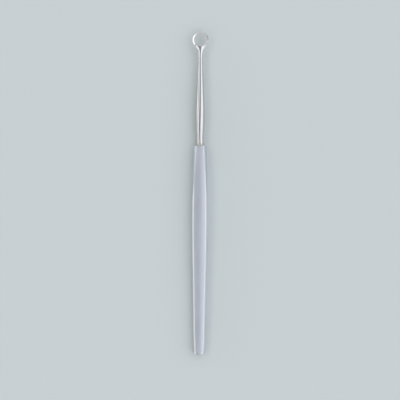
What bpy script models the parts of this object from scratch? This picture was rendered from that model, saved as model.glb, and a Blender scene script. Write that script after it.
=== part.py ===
"""Dermal curette: a ring with a sharpened rim on a polished neck, brazed into a flat satin handle.

Every piece is modelled along the tool's own axis, with +Y towards the ring and y = 0 on the handle's front
face. An empty carries them all and lays the tool down on the flat underside of its handle.
"""

import math

import bpy
from mathutils import Vector

MM = 0.001

# handle, a bar that is widest at the grip
HANDLE_LENGTH = 94.6 * MM
GRIP_AT = 32.0 * MM
SHOULDER_WIDTH = 5.9 * MM
GRIP_WIDTH = 6.85 * MM
BUTT_WIDTH = 4.5 * MM
SHOULDER_THICKNESS = 5.2 * MM
BUTT_THICKNESS = 3.6 * MM
HANDLE_STATIONS = 44

# how far the width has grown between the shoulder and the grip, and between the butt and the grip
SWELL_SHARES = [(0, 0), (0.09, 0.1), (0.18, 0.3), (0.3, 0.5), (0.47, 0.66), (0.7, 0.84), (0.86, 0.96),
                (1, 1)]
TAPER_SHARES = [(0, 1), (0.15, 0.94), (0.3, 0.83), (0.45, 0.68), (0.6, 0.54), (0.76, 0.41), (0.86, 0.33),
                (0.93, 0.19), (1, 0)]

# handle's section: a flat land along each face, wider at both ends than at the grip, and a crown beside it
# that meets the chamfer of each long edge at an angle
GRIP_LAND = 1.6 * MM
END_LAND = 2.0 * MM
CROWN_ANGLE = math.radians(11)
CROWN_STEPS = 4
CHAMFER_WIDTH = 0.63 * MM
CHAMFER_DEPTH = 0.58 * MM
BUTT_CHAMFER = 0.2 * MM
SHOULDER_EASE = 0.1 * MM
SHOULDER_EASE_LENGTH = 1.2 * MM

# handle's front end, where the tapered round blank that the bar was ground from still shows
COLLAR_DIAMETER = 5.78 * MM
COLLAR_EDGE = 0.4 * MM
COLLAR_EDGE_STEPS = 5
BLANK_TAPER = math.radians(2)
FRONT_FACE_RIM = 0.1 * MM

# shank, from its seat on the handle's front face to its tip
SHANK_LENGTH = 39.5 * MM
WAIST_AT = 3.2 * MM
BULGE_AT = 13.2 * MM
WAIST_DIAMETER = 3.11 * MM
BULGE_DIAMETER = 4.12 * MM
TIP_DIAMETER = 2.17 * MM
TANG_DIAMETER = 2.6 * MM
TANG_LENGTH = 12.0 * MM
TANG_CHAMFER = 0.25 * MM
SEAT_STEP = 0.3 * MM

# how far the diameter has grown between the waist and the bulge, and between the tip and the bulge
FLARE_SHARES = [(0, 0), (0.1, 0.06), (0.2, 0.28), (0.34, 0.58), (0.53, 0.82), (0.75, 0.97), (1, 1)]
SLIM_SHARES = [(0, 1), (0.08, 0.985), (0.17, 0.91), (0.3, 0.76), (0.44, 0.59), (0.58, 0.42), (0.72, 0.26),
               (0.85, 0.115), (0.94, 0.02), (1, 0)]
SHANK_STATIONS = 44

# cutting ring, with its root and the stem that the shank's tip holds
RING_DIAMETER = 7.3 * MM
RING_BORE = 5.8 * MM
RING_HEIGHT = 1.5 * MM
BEVEL_DEPTH = 0.65 * MM
EDGE_LAND = 0.05 * MM
LOWER_ROUND = 0.28 * MM
ROOT_LENGTH = 8.1 * MM
FLANK_ANGLE = math.radians(36)
STRAIGHT_ANGLE = math.radians(15)
STEM_DIAMETER = 1.2 * MM
STEM_LENGTH = 4.0 * MM
STEM_CHAMFER = 0.12 * MM
ROOT_STATIONS = 14
RING_STATIONS = 32
BEVEL_STEPS = 4
LOWER_ROUND_STEPS = 3

# how straight the flank's curve leaves the root face and meets the straight flank, as shares of its length
FLANK_HANDLE_SHARES = (0.58, 0.21)
# where along the root the section starts to change, and how much of the half ring it still takes
MORPH_START_SHARE = 0.5
MORPH_RING_SHARE = 0.4

# brazed joints
TANG_CLEARANCE = 0.05 * MM
STEM_CLEARANCE = 0.04 * MM
SEAT_CLEARANCE = 0.05 * MM
BRAZE_CLEARANCE = 0.03 * MM
BLIND_CLEARANCE = 0.3 * MM
FILLET_LEG = 0.55 * MM
FILLET_HEIGHT = 1.2 * MM
FILLET_TOE = 0.05 * MM
FILLET_STEPS = 5
SEAM_WIDTH = 0.15 * MM
COUNTERSINK_DEPTH = 0.25 * MM
DRILL_POINT_ANGLE = math.radians(118)

TURNED_SIDES = 36
CUT_OVERRUN = 1.0 * MM
WELD_DISTANCE = 0.001 * MM
SHARP_ANGLE = math.radians(28)

SATIN_STEEL = (0.49, 0.52, 0.58, 1)
POLISHED_STEEL = (0.78, 0.79, 0.81, 1)
SILVER_BRAZE = (0.74, 0.71, 0.64, 1)


def smooth(points, x):
    """Height at x of a smooth curve through the points, which never overshoots them."""
    slopes = [(b[1] - a[1]) / (b[0] - a[0]) for a, b in zip(points, points[1:])]
    tangents = [slopes[0]]
    for before, after in zip(slopes, slopes[1:]):
        same_way = before * after > 0
        tangents.append(2 * before * after / (before + after) if same_way else 0)
    tangents.append(slopes[-1])
    i = 0
    while i < len(slopes) - 1 and x > points[i + 1][0]:
        i += 1
    span = points[i + 1][0] - points[i][0]
    u = (x - points[i][0]) / span
    low = points[i][1] + u * span * tangents[i]
    high = points[i + 1][1] - (1 - u) * span * tangents[i + 1]
    return low + (high - low) * ease(u)


def ease(u):
    """0 to 1 with a level start and end."""
    u = min(max(u, 0), 1)
    return u * u * (3 - 2 * u)


def spaced(start, end, steps):
    return [start + (end - start) * i / steps for i in range(steps + 1)]


def stretch(table, start, end, low, high):
    """A table of shares laid out from start to end, with its heights between low and high."""
    return [(start + (end - start) * x, low + (high - low) * y) for x, y in table]


def steel(name, colour, roughness):
    material = bpy.data.materials.new(name)
    material.use_nodes = True
    shader = material.node_tree.nodes["Principled BSDF"]
    shader.inputs["Base Color"].default_value = colour
    shader.inputs["Metallic"].default_value = 1
    shader.inputs["Roughness"].default_value = roughness
    return material


def new_object(name, points, faces, material=None, parent=None):
    """A mesh object, shaded smooth up to its sharp edges."""
    mesh = bpy.data.meshes.new(name)
    mesh.from_pydata(points, [], faces)
    mesh.shade_smooth()
    mesh.set_sharp_from_angle(angle=SHARP_ANGLE)
    if material:
        mesh.materials.append(material)
    piece = bpy.data.objects.new(name, mesh)
    piece.parent = parent
    bpy.context.scene.collection.objects.link(piece)
    return piece


def new_cutter(name, points, faces, parent):
    cutter = new_object(name, points, faces, parent=parent)
    cutter.hide_render = True
    cutter.display_type = "WIRE"
    return cutter


def cut(piece, cutter, operation):
    modifier = piece.modifiers.new(cutter.name, "BOOLEAN")
    modifier.operation = operation
    modifier.solver = "EXACT"
    modifier.object = cutter


def bridged(rows, open_rows=0, closed=False):
    """Points and faces of a surface through rows of points, where a row of one point is a pole.

    Each row goes round in the same sense and ends where it began, apart from the first open_rows, whose last
    side stays open. A closed surface also joins its last row to its first.
    """
    count = max(len(row) for row in rows)
    points = [point for row in rows for point in row]
    rings = []
    first = 0
    for row in rows:
        rings.append([first + k % len(row) for k in range(count)])
        first += len(row)
    pairs = list(zip(rings, rings[1:]))
    if closed:
        pairs.append((rings[-1], rings[0]))
    faces = []
    for i, (ring, after) in enumerate(pairs):
        sides = count - 1 if i < open_rows else count
        for k in range(sides):
            n = (k + 1) % count
            corners = [ring[k], ring[n], after[n], after[k]]
            faces.append(list(dict.fromkeys(corners)))
    return points, faces


def turned(profile, closed=False):
    """A profile of (y, radius) turned about the tool's axis, as points and faces.

    It runs from the butt towards the ring along its outer side. An open one starts and ends on the axis, and
    a closed one is the section of a ring.
    """
    rows = []
    for y, radius in profile:
        sides = TURNED_SIDES if radius > 0 else 1
        angles = [2 * math.pi * k / sides for k in range(sides)]
        rows.append([(radius * math.sin(a), y, radius * math.cos(a)) for a in angles])
    return bridged(rows, closed=closed)


def lofted(stations):
    """Points and faces of a solid with flat ends, through sections (y, [(x, z), ...]) from the butt forwards."""
    rows = [[(x, y, z) for x, z in section] for y, section in stations]
    points, faces = bridged(rows)
    count = len(rows[0])
    faces.append(list(reversed(range(count))))
    faces.append(list(range(len(points) - count, len(points))))
    return points, faces


# handle


def handle_outline():
    """The handle's width at points behind its front face."""
    swell = stretch(SWELL_SHARES, 0, GRIP_AT, SHOULDER_WIDTH, GRIP_WIDTH)
    taper = stretch(TAPER_SHARES, GRIP_AT, HANDLE_LENGTH, BUTT_WIDTH, GRIP_WIDTH)
    return swell + taper[1:]


def handle_thickness(behind):
    """Thickness at a place behind the front face, near which both faces are eased."""
    eased = max(1 - behind / SHOULDER_EASE_LENGTH, 0) * 2 * SHOULDER_EASE
    return SHOULDER_THICKNESS + (BUTT_THICKNESS - SHOULDER_THICKNESS) * behind / HANDLE_LENGTH - eased


def handle_land(behind):
    return smooth([(0, END_LAND), (GRIP_AT, GRIP_LAND), (HANDLE_LENGTH, END_LAND)], behind)


def bar_section(width, thickness, land_width):
    """The bar's outline, from the land on its upper face over its right side and round."""
    side = width / 2
    top = thickness / 2
    land = land_width / 2
    face = side - CHAMFER_WIDTH
    drop = math.tan(CROWN_ANGLE) * (face - land) / 2
    quarter = []
    for share in spaced(0, 1, CROWN_STEPS):
        quarter.append((land + (face - land) * share, top - drop * share * share))
    quarter.append((side, top - drop - CHAMFER_DEPTH))
    lower = [(x, -z) for x, z in reversed(quarter)]
    right = quarter + lower
    return right + [(-x, z) for x, z in reversed(right)]


def bar():
    """The bar from the butt, whose rim is chamfered, to just ahead of the front face."""
    outline = handle_outline()
    rim = 2 * BUTT_CHAMFER
    stations = [(-HANDLE_LENGTH, bar_section(BUTT_WIDTH - rim, BUTT_THICKNESS - rim, END_LAND))]
    for behind in spaced(HANDLE_LENGTH - BUTT_CHAMFER, SHOULDER_EASE_LENGTH, HANDLE_STATIONS):
        section = bar_section(smooth(outline, behind), handle_thickness(behind), handle_land(behind))
        stations.append((-behind, section))
    stations.append((CUT_OVERRUN, bar_section(SHOULDER_WIDTH, handle_thickness(-CUT_OVERRUN), END_LAND)))
    return lofted(stations)


def front_blank():
    """The round blank that the bar was ground from: face, rounded edge, and a taper that clears the bar."""
    face = shank_seat_radius() + BRAZE_CLEARANCE + FILLET_LEG + FRONT_FACE_RIM
    collar = COLLAR_DIAMETER / 2
    clear = math.hypot(GRIP_WIDTH, SHOULDER_THICKNESS) / 2
    swell_length = (clear - collar) / math.tan(BLANK_TAPER)
    behind_butt = HANDLE_LENGTH + CUT_OVERRUN
    profile = [(0, 0)]
    for turn in spaced(0, math.pi / 2, COLLAR_EDGE_STEPS):
        profile.append((-COLLAR_EDGE * (1 - math.cos(turn)), face + (collar - face) * math.sin(turn)))
    profile += [(-COLLAR_EDGE - swell_length, clear), (-behind_butt, clear), (-behind_butt, 0)]
    return turned(profile[::-1])


def blind_hole(radius, depth):
    """Profile of a drilled hole from its point at the bottom to just ahead of its mouth at y = 0."""
    point = radius / math.tan(DRILL_POINT_ANGLE / 2)
    return [(-depth - point, 0), (-depth, radius), (CUT_OVERRUN, radius), (CUT_OVERRUN, 0)]


def make_handle(material, parent):
    handle = new_object("handle", *bar(), material, parent)
    blank = new_cutter("front_blank", *front_blank(), parent)
    socket_radius = TANG_DIAMETER / 2 + TANG_CLEARANCE
    socket = new_cutter("socket", *turned(blind_hole(socket_radius, TANG_LENGTH + BLIND_CLEARANCE)), parent)
    cut(handle, blank, "INTERSECT")
    cut(handle, socket, "DIFFERENCE")
    return handle


# shank


def shank_seat_radius():
    return TANG_DIAMETER / 2 + SEAT_STEP


def shank_outline():
    """The shank's radius at points ahead of the handle's front face."""
    seat = (SEAT_CLEARANCE, shank_seat_radius())
    flare = stretch(FLARE_SHARES, WAIST_AT, BULGE_AT, WAIST_DIAMETER / 2, BULGE_DIAMETER / 2)
    slim = stretch(SLIM_SHARES, BULGE_AT, SHANK_LENGTH, TIP_DIAMETER / 2, BULGE_DIAMETER / 2)
    return [seat] + flare + slim[1:]


def stem_bore_radius():
    return STEM_DIAMETER / 2 + STEM_CLEARANCE


def countersink_radius():
    """Mouth of the countersink in the shank's tip, halfway across the tip's face."""
    return (stem_bore_radius() + TIP_DIAMETER / 2) / 2


def make_shank(material, parent):
    tang = TANG_DIAMETER / 2
    bore = stem_bore_radius()
    bore_bottom = SHANK_LENGTH - STEM_LENGTH - BLIND_CLEARANCE
    outline = shank_outline()
    profile = [
        (-TANG_LENGTH, 0),
        (-TANG_LENGTH, tang - TANG_CHAMFER),
        (-TANG_LENGTH + TANG_CHAMFER, tang),
        (SEAT_CLEARANCE, tang),
    ]
    for y in spaced(SEAT_CLEARANCE, SHANK_LENGTH, SHANK_STATIONS):
        profile.append((y, smooth(outline, y)))
    profile += [
        (SHANK_LENGTH, countersink_radius()),
        (SHANK_LENGTH - COUNTERSINK_DEPTH, bore),
        (bore_bottom, bore),
        (bore_bottom - bore / math.tan(DRILL_POINT_ANGLE / 2), 0),
    ]
    return new_object("shank", *turned(profile), material, parent)


# cutting ring


def root_face():
    return SHANK_LENGTH + SEAM_WIDTH


def rim_section():
    """The ring's section as (share of the wall from bore to outside, height), from its edge round to below.

    It has a thin land at the bore, the bevel, the outer wall, the rounded lower edge and a flat underside.
    """
    wall = (RING_DIAMETER - RING_BORE) / 2
    top = RING_HEIGHT / 2
    land = EDGE_LAND / wall
    section = [(0, top)]
    for share in spaced(0, 1, BEVEL_STEPS):
        section.append((land + (1 - land) * share, top - BEVEL_DEPTH * share))
    curl = LOWER_ROUND / wall
    section.append((1, (LOWER_ROUND - BEVEL_DEPTH) / 2))
    for turn in spaced(0, math.pi / 2, LOWER_ROUND_STEPS):
        section.append((1 - curl * (1 - math.cos(turn)), -top + LOWER_ROUND * (1 - math.sin(turn))))
    section += [((1 - curl) / 2, -top), (0, -top)]
    return section


def flank_end():
    """Where the flank's curve meets its straight stretch, as (angle below the ring's right side, radius)."""
    return Vector((FLANK_ANGLE + STRAIGHT_ANGLE, RING_DIAMETER / 2 / math.cos(STRAIGHT_ANGLE)))


def flank_place(share):
    """Place on the flank's curve, from the root face, where it runs along the axis, to its end."""
    start = Vector((TIP_DIAMETER / 2, root_face()))
    end = place(flank_end())
    leave, meet = ((end.y - start.y) * handle for handle in FLANK_HANDLE_SHARES)
    out = start + Vector((0, leave))
    back = end - Vector((meet * math.tan(FLANK_ANGLE), meet))
    rest = 1 - share
    curve = rest**3 * start + 3 * rest**2 * share * out + 3 * rest * share**2 * back + share**3 * end
    return polar(curve)


def outer_radius(below):
    """Radius of the head's outside, at an angle below the ring's right side: a circle, then its tangent."""
    return RING_DIAMETER / 2 / math.cos(max(below - FLANK_ANGLE, 0))


def ring_centre():
    return Vector((0, root_face() + ROOT_LENGTH))


def place(turned_place):
    """The point at (angle below the ring's right side, radius) about the ring's centre."""
    below, radius = turned_place
    return ring_centre() + Vector((math.cos(below), -math.sin(below))) * radius


def polar(point):
    arm = point - ring_centre()
    return Vector((math.atan2(-arm.y, arm.x), arm.length))


def half_section(inner, outer, depth, bend, morph):
    """Half a section of the head, from its top over the outer place to its bottom.

    It is an ellipse where morph is 0 and the ring's own section where morph is 1. It lies straight between
    the two places where bend is 0, and round the ring's centre where bend is 1.
    """
    rim = rim_section()
    row = []
    for (wall, height), angle in zip(rim, spaced(math.pi / 2, -math.pi / 2, len(rim) - 1)):
        across = math.cos(angle) * (1 - morph) + wall * morph
        up = depth * math.sin(angle) * (1 - morph) + height * morph
        straight = place(inner).lerp(place(outer), across)
        round_centre = place(inner.lerp(outer, across))
        row.append((*straight.lerp(round_centre, bend), up))
    return row


def stem_rows():
    """The stem from its end to the root face, as half sections."""
    stem = STEM_DIAMETER / 2
    end = root_face() - STEM_LENGTH
    profile = [(end, stem - STEM_CHAMFER), (end + STEM_CHAMFER, stem), (root_face(), stem)]
    rows = [[(0, end, 0)]]
    for y, radius in profile:
        angles = spaced(0, math.pi, len(rim_section()) - 1)
        rows.append([(radius * math.sin(a), y, radius * math.cos(a)) for a in angles])
    return rows


def root_rows():
    """The root from its face to the bore's nearest point, where the section is still mostly an ellipse."""
    rows = []
    for share in spaced(0, 1, ROOT_STATIONS)[:-1]:
        outer = flank_place(share)
        reach = (place(outer).y - root_face()) / (place(flank_end()).y - root_face())
        inner = Vector((math.pi / 2, ROOT_LENGTH - (ROOT_LENGTH - RING_BORE / 2) * reach))
        depth = TIP_DIAMETER / 2 + (RING_HEIGHT - TIP_DIAMETER) / 2 * ease(share)
        rows.append(half_section(inner, outer, depth, ease(share), morph_after(share)))
    return rows


def rim_rows():
    """The right half of the ring, from the bore's nearest point to the tip."""
    skew = math.pi / 2 - flank_end()[0]
    rows = []
    for share in spaced(0, 1, RING_STATIONS):
        inner = math.pi / 2 - math.pi * share
        past_root = share / MORPH_RING_SHARE
        outer = inner - skew * (1 - ease(past_root))
        inner_place = Vector((inner, RING_BORE / 2))
        outer_place = Vector((outer, outer_radius(outer)))
        rows.append(half_section(inner_place, outer_place, RING_HEIGHT / 2, 1, morph_after(1 + past_root)))
    return rows


def morph_after(travel):
    """How far the section has turned into the ring's, by a travel of 1 at the bore and 2 at the change's end."""
    return ease((travel - MORPH_START_SHARE) / (2 - MORPH_START_SHARE))


def make_cutting_ring(material, parent):
    """The right half of the head, mirrored into the left."""
    solid_rows = stem_rows() + root_rows()
    surface = bridged(solid_rows + rim_rows(), open_rows=len(solid_rows))
    ring = new_object("cutting_ring", *surface, material, parent)
    mirror = ring.modifiers.new("left_half", "MIRROR")
    mirror.merge_threshold = WELD_DISTANCE
    return ring


# brazed joints


def make_shank_braze(material, parent):
    """The fillet in the corner between the handle's front face and the shank, whose outline it follows."""
    outline = shank_outline()
    foot = BRAZE_CLEARANCE
    places = [(foot, FILLET_LEG)]
    for turn in spaced(0, math.pi / 2, FILLET_STEPS):
        y = foot + FILLET_TOE + (FILLET_HEIGHT - FILLET_TOE) * (1 - math.cos(turn))
        places.append((y, FILLET_TOE + (FILLET_LEG - FILLET_TOE) * (1 - math.sin(turn))))
    places += [(y, 0) for y in spaced(foot + FILLET_HEIGHT, foot, FILLET_STEPS)]
    profile = [(y, smooth(outline, y) + BRAZE_CLEARANCE + beyond) for y, beyond in places]
    return new_object("shank_braze", *turned(profile, closed=True), material, parent)


def make_ring_braze(material, parent):
    """The braze that fills the countersink in the shank's tip and the seam up to the ring's root."""
    low = SHANK_LENGTH + BRAZE_CLEARANCE
    high = root_face() - BRAZE_CLEARANCE
    inner = STEM_DIAMETER / 2 + BRAZE_CLEARANCE
    profile = [
        (low - COUNTERSINK_DEPTH + 2 * BRAZE_CLEARANCE, inner),
        (low, countersink_radius() - BRAZE_CLEARANCE),
        (low, TIP_DIAMETER / 2),
        (high, TIP_DIAMETER / 2),
        (high, inner),
    ]
    return new_object("ring_braze", *turned(profile, closed=True), material, parent)


def lay_down():
    """An empty that tilts the tool until the handle's underside lies flat, with the tool centred above it."""
    tilt = math.atan((SHOULDER_THICKNESS - BUTT_THICKNESS) / 2 / HANDLE_LENGTH)
    tip = root_face() + ROOT_LENGTH + RING_DIAMETER / 2
    axis = bpy.data.objects.new("tool_axis", None)
    axis.rotation_euler = (tilt, 0, 0)
    axis.location = (0, (HANDLE_LENGTH - tip) / 2, SHOULDER_THICKNESS / 2 * math.cos(tilt))
    bpy.context.scene.collection.objects.link(axis)
    return axis


def build():
    for leftover in list(bpy.data.objects):
        bpy.data.objects.remove(leftover)
    axis = lay_down()
    make_handle(steel("satin_handle", SATIN_STEEL, 0.36), axis)
    make_shank(steel("polished_shank", POLISHED_STEEL, 0.08), axis)
    make_cutting_ring(steel("polished_ring", POLISHED_STEEL, 0.1), axis)
    make_shank_braze(steel("shank_joint_braze", SILVER_BRAZE, 0.22), axis)
    make_ring_braze(steel("ring_joint_braze", SILVER_BRAZE, 0.18), axis)


build()
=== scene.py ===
"""Looks of the dermal curette: smooth pieces in place of its solids, steel and braze, studio and camera.

Lengths are metres. Each piece is made along the tool's own axis, with +Y towards the ring and y = 0 on the
handle's front face, and TOOL_AXIS lays it on the floor where the solids lie.
"""

import math

import bpy
import numpy as np
from mathutils import Matrix, Vector


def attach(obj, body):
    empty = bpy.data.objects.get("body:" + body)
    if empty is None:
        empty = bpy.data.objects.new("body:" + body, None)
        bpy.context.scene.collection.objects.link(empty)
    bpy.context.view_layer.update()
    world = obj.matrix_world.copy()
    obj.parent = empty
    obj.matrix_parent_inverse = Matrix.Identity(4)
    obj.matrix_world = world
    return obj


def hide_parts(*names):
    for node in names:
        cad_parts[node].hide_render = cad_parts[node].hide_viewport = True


MM = 0.001

# sizes of the solids, which the smooth pieces share
HANDLE_LENGTH = 94.6 * MM
GRIP_AT = 32.0 * MM
SHOULDER_WIDTH = 5.9 * MM
GRIP_WIDTH = 6.85 * MM
BUTT_WIDTH = 4.5 * MM
SHOULDER_THICKNESS = 5.2 * MM
BUTT_THICKNESS = 3.6 * MM
SWELL_SHARES = [(0, 0), (0.09, 0.1), (0.18, 0.3), (0.3, 0.5), (0.47, 0.66), (0.7, 0.84), (0.86, 0.96),
                (1, 1)]
TAPER_SHARES = [(0, 1), (0.15, 0.94), (0.3, 0.83), (0.45, 0.68), (0.6, 0.54), (0.76, 0.41), (0.86, 0.33),
                (0.93, 0.19), (1, 0)]
CROWN_ANGLE = math.radians(11)
CHAMFER_WIDTH = 0.63 * MM
CHAMFER_DEPTH = 0.58 * MM
BUTT_CHAMFER = 0.2 * MM
SHOULDER_EASE = 0.1 * MM
SHOULDER_EASE_LENGTH = 1.2 * MM
COLLAR_DIAMETER = 5.78 * MM
COLLAR_EDGE = 0.4 * MM
BLANK_TAPER = math.radians(2)
FRONT_FACE_RIM = 0.1 * MM
SHANK_LENGTH = 39.5 * MM
WAIST_AT = 3.2 * MM
BULGE_AT = 13.2 * MM
WAIST_DIAMETER = 3.11 * MM
BULGE_DIAMETER = 4.12 * MM
TIP_DIAMETER = 2.17 * MM
TANG_DIAMETER = 2.6 * MM
TANG_LENGTH = 12.0 * MM
SEAT_STEP = 0.3 * MM
FLARE_SHARES = [(0, 0), (0.1, 0.06), (0.2, 0.28), (0.34, 0.58), (0.53, 0.82), (0.75, 0.97), (1, 1)]
SLIM_SHARES = [(0, 1), (0.08, 0.985), (0.17, 0.91), (0.3, 0.76), (0.44, 0.59), (0.58, 0.42), (0.72, 0.26),
               (0.85, 0.115), (0.94, 0.02), (1, 0)]
RING_DIAMETER = 7.3 * MM
RING_BORE = 5.8 * MM
RING_HEIGHT = 1.5 * MM
BEVEL_DEPTH = 0.65 * MM
EDGE_LAND = 0.05 * MM
LOWER_ROUND = 0.28 * MM
ROOT_LENGTH = 8.1 * MM
FLANK_ANGLE = math.radians(36)
STRAIGHT_ANGLE = math.radians(15)
STEM_DIAMETER = 1.2 * MM
STEM_LENGTH = 4.0 * MM
FLANK_HANDLE_SHARES = (0.58, 0.21)
MORPH_START_SHARE = 0.5
MORPH_RING_SHARE = 0.4
SEAT_CLEARANCE = 0.05 * MM
TANG_CLEARANCE = 0.05 * MM
STEM_CLEARANCE = 0.04 * MM
BLIND_CLEARANCE = 0.3 * MM
FILLET_LEG = 0.55 * MM
FILLET_HEIGHT = 1.2 * MM
BRAZE_CLEARANCE = 0.03 * MM
SEAM_WIDTH = 0.15 * MM
COUNTERSINK_DEPTH = 0.25 * MM

# what only the smooth pieces have: rounded edges, blends, wear with a painted highlight along the edges, and
# no more than a hair beside the brazes
EDGE_RADIUS = 0.22 * MM
RUNOUT_BLEND = 0.07 * MM
RUNOUT_END = 18.0 * MM
HAIR = 0.004 * MM
SHARP_ANGLE = math.radians(30)
# how far the wear and its painted highlight reach from the edges, and how much of them the butt face has
WEAR_AND_HIGHLIGHT_REACH = 0.35 * MM
BUTT_FACE_WEAR_AND_HIGHLIGHT = 0.3
BUTT_RIM_SHARE = 0.97

# how finely the pieces are drawn, and how often their corners are eased
TURNED_SIDES = 128
ROUNDING_STEPS = 6
FACE_STEPS = 30
CHAMFER_STEPS = 8
SIDE_STEPS = 14
HANDLE_STEPS = 130
RUNOUT_STEPS = 110
COLLAR_STEPS = 12
NECK_STEPS = 240
NECK_EASING = 30
BEVEL_STEPS = 4
LOWER_ROUND_STEPS = 3
RIM_SPLITS = 5
RIM_EASING = 5
ROOT_STEPS = 56
HALF_RING_STEPS = 112
FILLET_STEPS = 16
FILLET_SEAT_STEPS = 10
SEAM_STEPS = 6

# the photograph: how much of the floor it shows, where its centre is, and how far the tool is turned in it
VIEW_WIDTH = 181.14 * MM
VIEW_CENTRE = (0.05 * MM, -3.15 * MM)
VIEW_ROLL = math.radians(0.22)
CAMERA_HEIGHT = 1.0
SENSOR_WIDTH = 36.0
FARTHEST_SEEN = 10

TILT = math.atan((SHOULDER_THICKNESS - BUTT_THICKNESS) / 2 / HANDLE_LENGTH)
ROOT_FACE = SHANK_LENGTH + SEAM_WIDTH
RING_CENTRE = Vector((0, ROOT_FACE + ROOT_LENGTH))
TIP = RING_CENTRE.y + RING_DIAMETER / 2
TOOL_AXIS = Matrix.Translation((0, (HANDLE_LENGTH - TIP) / 2, SHOULDER_THICKNESS / 2 * math.cos(TILT)))
TOOL_AXIS = TOOL_AXIS @ Matrix.Rotation(TILT, 4, "X")


# curves and surfaces


def ease(u):
    """0 to 1 with a level start and end."""
    u = min(max(u, 0), 1)
    return u * u * (3 - 2 * u)


def spaced(start, end, steps):
    return [start + (end - start) * i / steps for i in range(steps + 1)]


def stretch(table, start, end, low, high):
    """A table of shares laid out from start to end, with its heights between low and high."""
    return [(start + (end - start) * x, low + (high - low) * y) for x, y in table]


def smooth(points, x):
    """Height at x of a smooth curve through the points, which never overshoots them."""
    slopes = [(b[1] - a[1]) / (b[0] - a[0]) for a, b in zip(points, points[1:])]
    tangents = [slopes[0]]
    for before, after in zip(slopes, slopes[1:]):
        same_way = before * after > 0
        tangents.append(2 * before * after / (before + after) if same_way else 0)
    tangents.append(slopes[-1])
    i = 0
    while i < len(slopes) - 1 and x > points[i + 1][0]:
        i += 1
    span = points[i + 1][0] - points[i][0]
    u = (x - points[i][0]) / span
    low = points[i][1] + u * span * tangents[i]
    high = points[i + 1][1] - (1 - u) * span * tangents[i + 1]
    return low + (high - low) * ease(u)


def relaxed(values, rounds):
    """The same row of values with its corners eased and both ends kept."""
    values = np.array(values, float)
    for _ in range(rounds):
        values[1:-1] = (values[:-2] + 2 * values[1:-1] + values[2:]) / 4
    return values.tolist()


def soft_min(a, b, width):
    """The lesser of a and b, blended where they differ by less than width."""
    near = max(width - abs(a - b), 0) / width
    return min(a, b) - near * near * width / 4


def bridged(rows, open_rows=0, closed=False):
    """Points and faces of a surface through rows of points, where a row of one point is a pole.

    The first open_rows leave their last side open. A closed surface also joins its last row to its first.
    """
    count = max(len(row) for row in rows)
    points = [point for row in rows for point in row]
    rings = []
    first = 0
    for row in rows:
        rings.append([first + k % len(row) for k in range(count)])
        first += len(row)
    pairs = list(zip(rings, rings[1:]))
    if closed:
        pairs.append((rings[-1], rings[0]))
    faces = []
    for i, (ring, after) in enumerate(pairs):
        sides = count - 1 if i < open_rows else count
        for k in range(sides):
            n = (k + 1) % count
            corners = [ring[k], ring[n], after[n], after[k]]
            faces.append(list(dict.fromkeys(corners)))
    return points, faces


def turned(profile, closed=False):
    """A profile of (y, radius) turned about the tool's axis."""
    rows = []
    for y, radius in profile:
        sides = TURNED_SIDES if radius > 0 else 1
        angles = [2 * math.pi * k / sides for k in range(sides)]
        rows.append([(radius * math.sin(a), y, radius * math.cos(a)) for a in angles])
    return bridged(rows, closed=closed)


def new_piece(name, surface, material, node):
    """A piece laid down along the tool's axis, which stands for a CAD node."""
    points, faces = surface
    mesh = bpy.data.meshes.new(name)
    mesh.from_pydata(points, [], faces)
    mesh.transform(TOOL_AXIS)
    mesh.shade_smooth()
    mesh.set_sharp_from_angle(angle=SHARP_ANGLE)
    mesh.materials.append(material)
    piece = bpy.data.objects.new(name, mesh)
    bpy.context.scene.collection.objects.link(piece)
    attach(piece, "root")
    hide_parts(node)
    return piece


# handle


def handle_width(behind):
    swell = stretch(SWELL_SHARES, 0, GRIP_AT, SHOULDER_WIDTH, GRIP_WIDTH)
    taper = stretch(TAPER_SHARES, GRIP_AT, HANDLE_LENGTH, BUTT_WIDTH, GRIP_WIDTH)
    return smooth(swell + taper[1:], behind)


def handle_thickness(behind):
    """Thickness at a place behind the front face, near which both faces are eased."""
    eased = ease(1 - behind / (2 * SHOULDER_EASE_LENGTH)) * 2 * SHOULDER_EASE
    return SHOULDER_THICKNESS + (BUTT_THICKNESS - SHOULDER_THICKNESS) * behind / HANDLE_LENGTH - eased


def rounded(corner, before, after):
    """A corner of an outline that turns right there, as an arc between its two directions."""
    turn = before.angle(after)
    start = corner - before * (EDGE_RADIUS * math.tan(turn / 2))
    inward = Vector((before.y, -before.x))
    arc = []
    for a in spaced(0, turn, ROUNDING_STEPS):
        arc.append(start + (before * math.sin(a) + inward * (1 - math.cos(a))) * EDGE_RADIUS)
    return arc


def between(a, b, steps):
    """Points between a and b, without either."""
    return [a.lerp(b, share) for share in spaced(0, 1, steps)[1:-1]]


def bar_quarter(width, thickness):
    """The bar's outline from the middle of its top to the middle of its right side, and its two corners."""
    side = width / 2
    top = thickness / 2
    face = side - CHAMFER_WIDTH
    drop = math.tan(CROWN_ANGLE) * face / 2
    crown = Vector((math.cos(CROWN_ANGLE), -math.sin(CROWN_ANGLE)))
    chamfer = Vector((CHAMFER_WIDTH, -CHAMFER_DEPTH)).normalized()
    corners = [Vector((face, top - drop)), Vector((side, top - drop - CHAMFER_DEPTH))]
    upper = rounded(corners[0], crown, chamfer)
    lower = rounded(corners[1], chamfer, Vector((0, -1)))
    quarter = []
    for x in spaced(0, upper[0].x, FACE_STEPS)[:-1]:
        share = x / face
        quarter.append(Vector((x, top - drop * share * share)))
    quarter += upper + between(upper[-1], lower[0], CHAMFER_STEPS) + lower
    quarter += between(lower[-1], Vector((side, 0)), SIDE_STEPS) + [Vector((side, 0))]
    return quarter, corners


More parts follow.
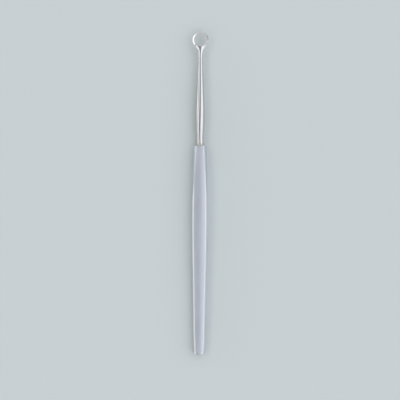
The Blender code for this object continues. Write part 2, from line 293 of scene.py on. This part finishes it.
def bar_row(y, width, thickness, blank):
    """The bar's outline at y, cut back to the radius of the round blank, with the wear of each point, which
    also stands for a painted highlight along the bar's edges.
    """
    quarter, corners = bar_quarter(width, thickness)
    points = []
    wear_and_highlight = []
    for point in quarter:
        radius = point.length
        cut = soft_min(radius, blank, RUNOUT_BLEND)
        # wear near the bar's edges, where the satin is also lightened as a painted highlight
        gap = min((point - corner).length for corner in corners)
        near = max(1 - gap / WEAR_AND_HIGHLIGHT_REACH, 0)
        turned_away = min((radius - cut) / RUNOUT_BLEND, 1)
        points.append(point * (cut / radius))
        wear_and_highlight.append(near * (1 - turned_away))
    right = points + [Vector((p.x, -p.y)) for p in reversed(points[:-1])]
    right_wear_and_highlight = wear_and_highlight + wear_and_highlight[-2::-1]
    row = [(p.x, y, p.y) for p in right] + [(-p.x, y, p.y) for p in reversed(right[1:-1])]
    return row, right_wear_and_highlight + right_wear_and_highlight[-2:0:-1]


def shrunk(row, y, factor):
    return [(x * factor, y, z * factor) for x, _, z in row]


def circle_like(row, y, radius):
    """A circle whose points lie in the same directions as the row's."""
    return [(x * radius / math.hypot(x, z), y, z * radius / math.hypot(x, z)) for x, _, z in row]


def make_handle(material):
    clear = GRIP_WIDTH
    collar = COLLAR_DIAMETER / 2
    face = TANG_DIAMETER / 2 + SEAT_STEP + BRAZE_CLEARANCE + FILLET_LEG + FRONT_FACE_RIM
    rows = []
    for a in spaced(0, math.pi / 2, ROUNDING_STEPS):
        inset = 2 * BUTT_CHAMFER * (1 - math.sin(a))
        y = -HANDLE_LENGTH + BUTT_CHAMFER * (1 - math.cos(a))
        # the butt's chamfered edge is worn all over, and lightened there as a painted highlight
        rows.append((bar_row(y, BUTT_WIDTH - inset, BUTT_THICKNESS - inset, clear)[0], 1))
    rim = shrunk(rows[0][0], -HANDLE_LENGTH, BUTT_RIM_SHARE)
    # the butt face's rim is worn a little, and lightened a little as a painted highlight
    rows = [([(0, -HANDLE_LENGTH, 0)], 0), (rim, BUTT_FACE_WEAR_AND_HIGHLIGHT)] + rows
    stations = spaced(HANDLE_LENGTH - BUTT_CHAMFER, RUNOUT_END, HANDLE_STEPS)[1:]
    stations += spaced(RUNOUT_END, COLLAR_EDGE, RUNOUT_STEPS)[1:]
    for behind in stations:
        blank = collar + (behind - COLLAR_EDGE) * math.tan(BLANK_TAPER)
        row, wear_and_highlight = bar_row(-behind, handle_width(behind), handle_thickness(behind), blank)
        rows.append((row, wear_and_highlight))
    for a in spaced(0, math.pi / 2, COLLAR_STEPS)[1:]:
        blank = face + (collar - face) * math.cos(a)
        y = COLLAR_EDGE * (math.sin(a) - 1)
        # the collar's rounded edge is worn most halfway round it, and lightened there as a painted highlight
        rows.append((bar_row(y, SHOULDER_WIDTH, handle_thickness(-y), blank)[0], math.sin(2 * a)))
    last = rows[-1][0]
    bore = TANG_DIAMETER / 2 + TANG_CLEARANCE
    bottom = -TANG_LENGTH - BLIND_CLEARANCE
    rows.append((circle_like(last, 0, face - FRONT_FACE_RIM), 0))
    rows.append((circle_like(last, 0, bore), 0))
    rows.append((circle_like(last, bottom, bore), 0))
    rows.append(([(0, bottom - bore, 0)], 0))
    handle = new_piece("handle_bar", bridged([row for row, _ in rows]), material, "handle")
    # wear of each point, which the satin also shows as a painted highlight
    wear_and_highlight = []
    for row, worn_and_highlit in rows:
        wear_and_highlight += worn_and_highlit if isinstance(worn_and_highlit, list) else [worn_and_highlit] * len(row)
    handle.data.attributes.new("wear_and_highlight", "FLOAT", "POINT").data.foreach_set("value", wear_and_highlight)
    return handle


# shank


def shank_radius(y):
    seat = (SEAT_CLEARANCE, TANG_DIAMETER / 2 + SEAT_STEP)
    flare = stretch(FLARE_SHARES, WAIST_AT, BULGE_AT, WAIST_DIAMETER / 2, BULGE_DIAMETER / 2)
    slim = stretch(SLIM_SHARES, BULGE_AT, SHANK_LENGTH, TIP_DIAMETER / 2, BULGE_DIAMETER / 2)
    return smooth([seat] + flare + slim[1:], y)


def make_shank(material):
    tang = TANG_DIAMETER / 2
    bore = STEM_DIAMETER / 2 + STEM_CLEARANCE
    bore_bottom = SHANK_LENGTH - STEM_LENGTH - BLIND_CLEARANCE
    stations = spaced(SEAT_CLEARANCE, SHANK_LENGTH, NECK_STEPS)
    radii = relaxed([shank_radius(y) for y in stations], NECK_EASING)
    profile = [(-TANG_LENGTH, 0), (-TANG_LENGTH, tang), (SEAT_CLEARANCE, tang)]
    profile += zip(stations, radii)
    profile += [
        (SHANK_LENGTH, (bore + TIP_DIAMETER / 2) / 2),
        (SHANK_LENGTH - COUNTERSINK_DEPTH, bore),
        (bore_bottom, bore),
        (bore_bottom - bore, 0),
    ]
    return new_piece("shank_neck", turned(profile), material, "shank")


# cutting ring


def rim_section():
    """The ring's section from its edge round to below: shares of the wall, bore to outside, and heights."""
    wall = (RING_DIAMETER - RING_BORE) / 2
    top = RING_HEIGHT / 2
    land = EDGE_LAND / wall
    curl = LOWER_ROUND / wall
    coarse = [(0, top)]
    for share in spaced(0, 1, BEVEL_STEPS):
        coarse.append((land + (1 - land) * share, top - BEVEL_DEPTH * share))
    coarse.append((1, (LOWER_ROUND - BEVEL_DEPTH) / 2))
    for a in spaced(0, math.pi / 2, LOWER_ROUND_STEPS):
        coarse.append((1 - curl * (1 - math.cos(a)), -top + LOWER_ROUND * (1 - math.sin(a))))
    coarse += [((1 - curl) / 2, -top), (0, -top)]
    fine = [coarse[0]]
    for a, b in zip(coarse, coarse[1:]):
        fine += [tuple(Vector(a).lerp(Vector(b), share)) for share in spaced(0, 1, RIM_SPLITS)[1:]]
    walls = relaxed([wall for wall, _ in fine], RIM_EASING)
    heights = relaxed([height for _, height in fine], RIM_EASING)
    return list(zip(walls, heights))


RIM = rim_section()


def place(turned_place):
    """The point at (angle below the ring's right side, radius) about the ring's centre."""
    below, radius = turned_place
    return RING_CENTRE + Vector((math.cos(below), -math.sin(below))) * radius


def flank_end():
    """Where the flank's curve meets its straight stretch."""
    return Vector((FLANK_ANGLE + STRAIGHT_ANGLE, RING_DIAMETER / 2 / math.cos(STRAIGHT_ANGLE)))


def flank_place(share):
    """Place on the flank's curve, from the root face, where it runs along the axis, to its end."""
    start = Vector((TIP_DIAMETER / 2, ROOT_FACE))
    end = place(flank_end())
    leave, meet = ((end.y - start.y) * handle for handle in FLANK_HANDLE_SHARES)
    out = start + Vector((0, leave))
    back = end - Vector((meet * math.tan(FLANK_ANGLE), meet))
    rest = 1 - share
    curve = rest**3 * start + 3 * rest**2 * share * out + 3 * rest * share**2 * back + share**3 * end
    arm = curve - RING_CENTRE
    return Vector((math.atan2(-arm.y, arm.x), arm.length))


def half_section(inner, outer, depth, bend, morph):
    """Half a section of the head, from its top over the outer place to its bottom.

    It is an ellipse where morph is 0 and the ring's own section where morph is 1. It lies straight between
    the two places where bend is 0, and round the ring's centre where bend is 1.
    """
    row = []
    for (wall, height), angle in zip(RIM, spaced(math.pi / 2, -math.pi / 2, len(RIM) - 1)):
        across = math.cos(angle) * (1 - morph) + wall * morph
        up = depth * math.sin(angle) * (1 - morph) + height * morph
        straight = place(inner).lerp(place(outer), across)
        round_centre = place(inner.lerp(outer, across))
        row.append((*straight.lerp(round_centre, bend), up))
    return row


def morph_after(travel):
    """Morph by how far a section lies along: 0 at the root face, 1 at the ring's start, 2 at morph's end."""
    return ease((travel - MORPH_START_SHARE) / (2 - MORPH_START_SHARE))


def stem_rows():
    stem = STEM_DIAMETER / 2
    end = ROOT_FACE - STEM_LENGTH
    rows = [[(0, end, 0)]]
    for y in (end, ROOT_FACE):
        rows.append([(stem * math.sin(a), y, stem * math.cos(a)) for a in spaced(0, math.pi, len(RIM) - 1)])
    return rows


def root_rows():
    rows = []
    for share in spaced(0, 1, ROOT_STEPS)[:-1]:
        outer = flank_place(share)
        reach = (place(outer).y - ROOT_FACE) / (place(flank_end()).y - ROOT_FACE)
        inner = Vector((math.pi / 2, ROOT_LENGTH - (ROOT_LENGTH - RING_BORE / 2) * reach))
        depth = TIP_DIAMETER / 2 + (RING_HEIGHT - TIP_DIAMETER) / 2 * ease(share)
        rows.append(half_section(inner, outer, depth, ease(share), morph_after(share)))
    return rows


def rim_rows():
    skew = math.pi / 2 - flank_end()[0]
    rows = []
    for share in spaced(0, 1, HALF_RING_STEPS):
        inner = math.pi / 2 - math.pi * share
        past_root = share / MORPH_RING_SHARE
        outer = inner - skew * (1 - ease(past_root))
        radius = RING_DIAMETER / 2 / math.cos(max(outer - FLANK_ANGLE, 0))
        inner_place = Vector((inner, RING_BORE / 2))
        outer_place = Vector((outer, radius))
        rows.append(half_section(inner_place, outer_place, RING_HEIGHT / 2, 1, morph_after(1 + past_root)))
    return rows


def make_cutting_ring(material):
    """The right half of the head, mirrored into the left."""
    solid_rows = stem_rows() + root_rows()
    surface = bridged(solid_rows + rim_rows(), open_rows=len(solid_rows))
    ring = new_piece("ring_head", surface, material, "cutting_ring")
    mirror = ring.modifiers.new("left_half", "MIRROR")
    mirror.merge_threshold = HAIR / 4
    return ring


# brazed joints


def make_shank_braze(material):
    """The fillet in the corner between the handle's front face and the shank."""
    places = [(HAIR, FILLET_LEG)]
    for a in spaced(0, math.pi / 2, FILLET_STEPS):
        beyond = HAIR + (FILLET_LEG - HAIR) * (1 - math.sin(a))
        places.append((2 * HAIR + FILLET_HEIGHT * (1 - math.cos(a)), beyond))
    places += [(y, 0) for y in spaced(FILLET_HEIGHT, HAIR, FILLET_SEAT_STEPS)]
    profile = [(y, shank_radius(y) + HAIR + beyond) for y, beyond in places]
    surface = turned(profile, closed=True)
    return new_piece("braze_fillet", surface, material, "shank_braze")


def make_ring_braze(material):
    """The braze between the shank's tip and the ring's root, a hair proud of both."""
    low = SHANK_LENGTH + HAIR
    high = ROOT_FACE - HAIR
    inner = STEM_DIAMETER / 2 + HAIR
    profile = [
        (low - COUNTERSINK_DEPTH + BRAZE_CLEARANCE, inner),
        (low, STEM_DIAMETER / 2 + STEM_CLEARANCE),
    ]
    for a in spaced(0, math.pi, SEAM_STEPS):
        y = low + (high - low) * (1 - math.cos(a)) / 2
        profile.append((y, TIP_DIAMETER / 2 + 2 * HAIR * math.sin(a)))
    profile.append((high, inner))
    surface = turned(profile, closed=True)
    return new_piece("braze_seam", surface, material, "ring_braze")


# materials

SATIN_DARK = (0.605, 0.63, 0.682)
SATIN_LIGHT = (0.665, 0.692, 0.744)
# the worn satin is lighter: partly wear, partly a painted highlight along the edges
WORN_AND_HIGHLIT_SATIN = (0.73, 0.74, 0.755)
NECK_STEEL = (0.645, 0.645, 0.65)
HEAD_STEEL = (0.70, 0.70, 0.705)
HAZE_SHADE = 0.93
BRAZE_DARK = (0.54, 0.515, 0.48)
BRAZE_LIGHT = (0.61, 0.595, 0.57)

# each noise: the size of its spots across the tool, along it and up, then its detail and its roughness
STREAKS = ((0.45 * MM, 16 * MM, 0.45 * MM), 3, 0.6)
GRAIN = ((0.09 * MM, 3.5 * MM, 0.09 * MM), 3, 0.65)
SATIN_HAIRS = ((0.03 * MM, 1.2 * MM, 0.03 * MM), 2, 0.6)
CLOUDS = ((4 * MM, 11 * MM, 4 * MM), 3, 0.5)
WAVES = ((1.3 * MM, 9 * MM, 1.3 * MM), 2, 0.45)
POLISH_HAIRS = ((0.035 * MM, 2.2 * MM, 0.035 * MM), 3, 0.7)
HAZE = ((1.6 * MM, 3 * MM, 1.6 * MM), 4, 0.55)
POOLS = ((0.5 * MM, 0.4 * MM, 0.5 * MM), 3, 0.55)
PORES = ((0.05 * MM, 0.05 * MM, 0.05 * MM), 2, 0.6)

STREAK_SHARE = 0.55
GRAIN_RELIEF = 0.004 * MM
SATIN_HAIR_RELIEF = 0.0012 * MM
WAVE_RELIEF = 0.012 * MM
POLISH_HAIR_RELIEF = 0.0004 * MM
POOL_RELIEF = 0.02 * MM
PORE_RELIEF = 0.001 * MM

# which stretch of a noise's values is read: nearly all of it, or only its middle or its peaks
WHOLE = (0.3, 0.7)
LINES = (0.34, 0.66)
PATCHES = (0.35, 0.6)
HAZE_PEAKS = (0.45, 0.75)
HAIR_PEAKS = (0.55, 0.75)

SATIN_ROUGHNESS = (0.50, 0.40)
SMUDGES = (-0.03, 0.04)
# how much of the wear shows and how far it lightens the colour, which is partly a painted highlight
LEAST_WEAR_AND_HIGHLIGHT = 0.45
WORN_AND_HIGHLIT_SHARE = 0.7
WORN_SMOOTHING = 0.2
POLISHED_ROUGHNESS = (0.06, 0.12)
HAIR_ROUGHNESS = 0.06
BRAZE_ROUGHNESS = (0.24, 0.13)


def feed(tree, socket, value):
    if isinstance(value, bpy.types.NodeSocket):
        tree.links.new(value, socket)
    else:
        socket.default_value = value


def calculate(tree, operation, *values):
    """A Math node's result."""
    made = tree.nodes.new("ShaderNodeMath")
    made.operation = operation
    for socket, value in zip(made.inputs, values):
        feed(tree, socket, value)
    return made.outputs[0]


def ranged(tree, value, low, high, to_low, to_high):
    """The value, read from low to high, as a value from to_low to to_high."""
    made = tree.nodes.new("ShaderNodeMapRange")
    for socket, fed in zip(made.inputs, (value, low, high, to_low, to_high)):
        feed(tree, socket, fed)
    return made.outputs[0]


def noise(tree, size, detail, roughness):
    """Noise from 0 to 1 whose spots measure size (x, y, z), in metres, along the piece's own axes."""
    where = tree.nodes.new("ShaderNodeTexCoord").outputs["Object"]
    mapping = tree.nodes.new("ShaderNodeMapping")
    mapping.inputs["Scale"].default_value = [1 / length for length in size]
    tree.links.new(where, mapping.inputs["Vector"])
    made = tree.nodes.new("ShaderNodeTexNoise")
    made.inputs["Scale"].default_value = 1
    made.inputs["Detail"].default_value = detail
    made.inputs["Roughness"].default_value = roughness
    tree.links.new(mapping.outputs[0], made.inputs["Vector"])
    return made.outputs["Fac"]


def blended(tree, share, low, high):
    """A colour between two others."""
    made = tree.nodes.new("ShaderNodeMix")
    made.data_type = "RGBA"
    feed(tree, made.inputs["Factor"], share)
    colours = [socket for socket in made.inputs if socket.type == "RGBA"]
    for socket, colour in zip(colours, (low, high)):
        feed(tree, socket, colour if isinstance(colour, bpy.types.NodeSocket) else (*colour, 1))
    return [socket for socket in made.outputs if socket.type == "RGBA"][0]


def bumped(tree, height, distance, normal=None):
    made = tree.nodes.new("ShaderNodeBump")
    made.inputs["Distance"].default_value = distance
    tree.links.new(height, made.inputs["Height"])
    if normal:
        tree.links.new(normal, made.inputs["Normal"])
    return made.outputs[0]


def metal(name):
    material = bpy.data.materials.new(name)
    material.use_nodes = True
    shader = material.node_tree.nodes["Principled BSDF"]
    shader.inputs["Metallic"].default_value = 1
    return material, material.node_tree, shader


def satin_steel():
    """Steel with a fine grain along the handle, handled smooth along its edges, where its colour is also
    lightened as a painted highlight.
    """
    material, tree, shader = metal("satin_steel")
    streaks = noise(tree, *STREAKS)
    grain = noise(tree, *GRAIN)
    hairs = noise(tree, *SATIN_HAIRS)
    clouds = noise(tree, *CLOUDS)
    # wear along the edges: it smooths the roughness and lightens the colour as a painted highlight
    wear_and_highlight = tree.nodes.new("ShaderNodeAttribute")
    wear_and_highlight.attribute_name = "wear_and_highlight"
    patches = ranged(tree, clouds, *PATCHES, LEAST_WEAR_AND_HIGHLIGHT, 1)
    patchy = calculate(tree, "MULTIPLY", wear_and_highlight.outputs["Fac"], patches)
    broad = calculate(tree, "MULTIPLY", streaks, STREAK_SHARE)
    narrow = calculate(tree, "MULTIPLY", grain, 1 - STREAK_SHARE)
    lines = calculate(tree, "ADD", broad, narrow)
    body = blended(tree, ranged(tree, lines, *LINES, 0, 1), SATIN_DARK, SATIN_LIGHT)
    # worn places blend towards the lighter worn colour, a painted highlight as well as wear
    colour = blended(tree, calculate(tree, "MULTIPLY", patchy, WORN_AND_HIGHLIT_SHARE), body, WORN_AND_HIGHLIT_SATIN)
    tree.links.new(colour, shader.inputs["Base Color"])
    dull = ranged(tree, lines, *WHOLE, *SATIN_ROUGHNESS)
    smudged = calculate(tree, "ADD", dull, ranged(tree, clouds, *WHOLE, *SMUDGES))
    rubbed = calculate(tree, "SUBTRACT", smudged, calculate(tree, "MULTIPLY", patchy, WORN_SMOOTHING))
    tree.links.new(rubbed, shader.inputs["Roughness"])
    relief = bumped(tree, grain, GRAIN_RELIEF)
    tree.links.new(bumped(tree, hairs, SATIN_HAIR_RELIEF, relief), shader.inputs["Normal"])
    return material


def polished_steel(name, colour):
    """Mirror-polished steel, with the faint waves, hairlines and haze that a hand polish leaves."""
    material, tree, shader = metal(name)
    waves = noise(tree, *WAVES)
    hairs = noise(tree, *POLISH_HAIRS)
    haze = noise(tree, *HAZE)
    dull = tuple(part * HAZE_SHADE for part in colour)
    hazy = blended(tree, ranged(tree, haze, *WHOLE, 0, 1), dull, colour)
    tree.links.new(hazy, shader.inputs["Base Color"])
    smooth_or_hazy = ranged(tree, haze, *HAZE_PEAKS, *POLISHED_ROUGHNESS)
    scratched = ranged(tree, hairs, *HAIR_PEAKS, 0, HAIR_ROUGHNESS)
    tree.links.new(calculate(tree, "ADD", smooth_or_hazy, scratched), shader.inputs["Roughness"])
    relief = bumped(tree, waves, WAVE_RELIEF)
    tree.links.new(bumped(tree, hairs, POLISH_HAIR_RELIEF, relief), shader.inputs["Normal"])
    return material


def silver_braze(name):
    """Polished silver braze, a little warmer and less even than the steel beside it."""
    material, tree, shader = metal(name)
    pools = noise(tree, *POOLS)
    pores = noise(tree, *PORES)
    colour = blended(tree, ranged(tree, pools, *WHOLE, 0, 1), BRAZE_DARK, BRAZE_LIGHT)
    tree.links.new(colour, shader.inputs["Base Color"])
    tree.links.new(ranged(tree, pools, *WHOLE, *BRAZE_ROUGHNESS), shader.inputs["Roughness"])
    relief = bumped(tree, pools, POOL_RELIEF)
    tree.links.new(bumped(tree, pores, PORE_RELIEF, relief), shader.inputs["Normal"])
    return material


# studio

# how bright the studio is across the tool, by the angle from straight up, with the right side positive
SOFT_BOXES = [
    (-180, (1.09, 1.10, 1.10)),
    (-104, (1.72, 1.77, 1.77)),
    (-77, (1.72, 1.77, 1.77)),
    (-74, (0.45, 0.40, 0.37)),
    (-57, (0.32, 0.28, 0.26)),
    (-53, (1.44, 1.45, 1.42)),
    (-35, (1.44, 1.45, 1.42)),
    (-28, (0.34, 0.34, 0.35)),
    (5, (0.32, 0.35, 0.41)),
    (14, (1.32, 1.35, 1.41)),
    (40, (1.32, 1.35, 1.40)),
    (62, (1.39, 1.39, 1.44)),
    (72, (1.30, 1.31, 1.36)),
    (75, (0.50, 0.51, 0.52)),
    (83, (0.50, 0.51, 0.52)),
    (86, (0.90, 0.90, 0.92)),
    (104, (0.90, 0.90, 0.92)),
    (180, (1.09, 1.10, 1.13)),
]
STUDIO_PEAK = 1.8
# what the boxes fade to over the tool's ends, between two values of how far a direction points to the ring
FADES = [
    (0.55, 0.92, (0.83, 0.84, 0.85)),
    (-0.45, -0.65, (1.00, 1.01, 1.04)),
    (-0.80, -0.95, (0.50, 0.51, 0.54)),
]
# the y of a direction from which on, towards either end, this much is added to its angle
LEAN_AT_BUTT = (-0.05, math.radians(2))
LEAN_AT_RING = (0.08, math.radians(-6))

FLOOR_COLOUR = (0.63, 0.68, 0.68)
FLOOR_REACH = 4.0


def make_world():
    """A studio of long soft boxes beside the tool."""
    world = bpy.data.worlds.new("studio")
    bpy.context.scene.world = world
    world.use_nodes = True
    tree = world.node_tree
    tree.nodes.clear()
    direction = tree.nodes.new("ShaderNodeSeparateXYZ")
    tree.links.new(tree.nodes.new("ShaderNodeTexCoord").outputs["Generated"], direction.inputs[0])
    x, y, z = direction.outputs
    turn = calculate(tree, "ARCTAN2", x, z)
    ramp = tree.nodes.new("ShaderNodeValToRGB")
    stops = ramp.color_ramp.elements
    for i, (angle, colour) in enumerate(SOFT_BOXES):
        at = (angle + 180) / 360
        stop = stops[i] if i < 2 else stops.new(at)  # a ramp starts with two stops
        stop.position = at
        stop.color = (*[part / STUDIO_PEAK for part in colour], 1)
    (butt, lean_at_butt), (ring, lean_at_ring) = LEAN_AT_BUTT, LEAN_AT_RING
    leaning = calculate(tree, "ADD", turn, ranged(tree, y, butt, ring, lean_at_butt, lean_at_ring))
    tree.links.new(ranged(tree, leaning, -math.pi, math.pi, 0, 1), ramp.inputs[0])
    colour = ramp.outputs["Color"]
    for start, end, light in FADES:
        share = ranged(tree, y, start, end, 0, 1)
        colour = blended(tree, share, colour, [part / STUDIO_PEAK for part in light])
    boxes = tree.nodes.new("ShaderNodeBackground")
    boxes.inputs["Strength"].default_value = STUDIO_PEAK
    tree.links.new(colour, boxes.inputs["Color"])
    tree.links.new(boxes.outputs[0], tree.nodes.new("ShaderNodeOutputWorld").inputs["Surface"])


def make_floor():
    """A plain pale floor that keeps the tool's shadow."""
    material = bpy.data.materials.new("pale_floor")
    material.use_nodes = True
    tree = material.node_tree
    tree.nodes.clear()
    matte = tree.nodes.new("ShaderNodeBsdfDiffuse")
    matte.inputs["Color"].default_value = (*FLOOR_COLOUR, 1)
    tree.links.new(matte.outputs[0], tree.nodes.new("ShaderNodeOutputMaterial").inputs["Surface"])
    corners = [(-1, -1), (1, -1), (1, 1), (-1, 1)]
    points = [(x * FLOOR_REACH, y * FLOOR_REACH, -HAIR) for x, y in corners]
    mesh = bpy.data.meshes.new("floor")
    mesh.from_pydata(points, [], [(0, 1, 2, 3)])
    mesh.materials.append(material)
    floor = bpy.data.objects.new("floor", mesh)
    bpy.context.scene.collection.objects.link(floor)


def make_camera():
    data = bpy.data.cameras.new("camera")
    data.sensor_width = SENSOR_WIDTH
    data.lens = SENSOR_WIDTH * CAMERA_HEIGHT / VIEW_WIDTH
    data.clip_end = FARTHEST_SEEN
    camera = bpy.data.objects.new("camera", data)
    camera.location = (*VIEW_CENTRE, CAMERA_HEIGHT + SHOULDER_THICKNESS / 2)
    camera.rotation_euler = (0, 0, VIEW_ROLL)
    bpy.context.scene.collection.objects.link(camera)
    bpy.context.scene.camera = camera


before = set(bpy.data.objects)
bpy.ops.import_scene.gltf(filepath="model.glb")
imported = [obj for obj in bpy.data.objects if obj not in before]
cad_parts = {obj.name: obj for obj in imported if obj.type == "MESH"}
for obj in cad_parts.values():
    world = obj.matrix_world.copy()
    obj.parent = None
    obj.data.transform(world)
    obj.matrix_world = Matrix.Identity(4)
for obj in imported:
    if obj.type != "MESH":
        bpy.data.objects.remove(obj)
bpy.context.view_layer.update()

make_handle(satin_steel())
make_shank(polished_steel("polished_neck", NECK_STEEL))
make_cutting_ring(polished_steel("polished_head", HEAD_STEEL))
make_shank_braze(silver_braze("shank_braze_metal"))
make_ring_braze(silver_braze("ring_braze_metal"))
make_world()
make_floor()
make_camera()
bpy.context.scene.view_settings.view_transform = "Standard"
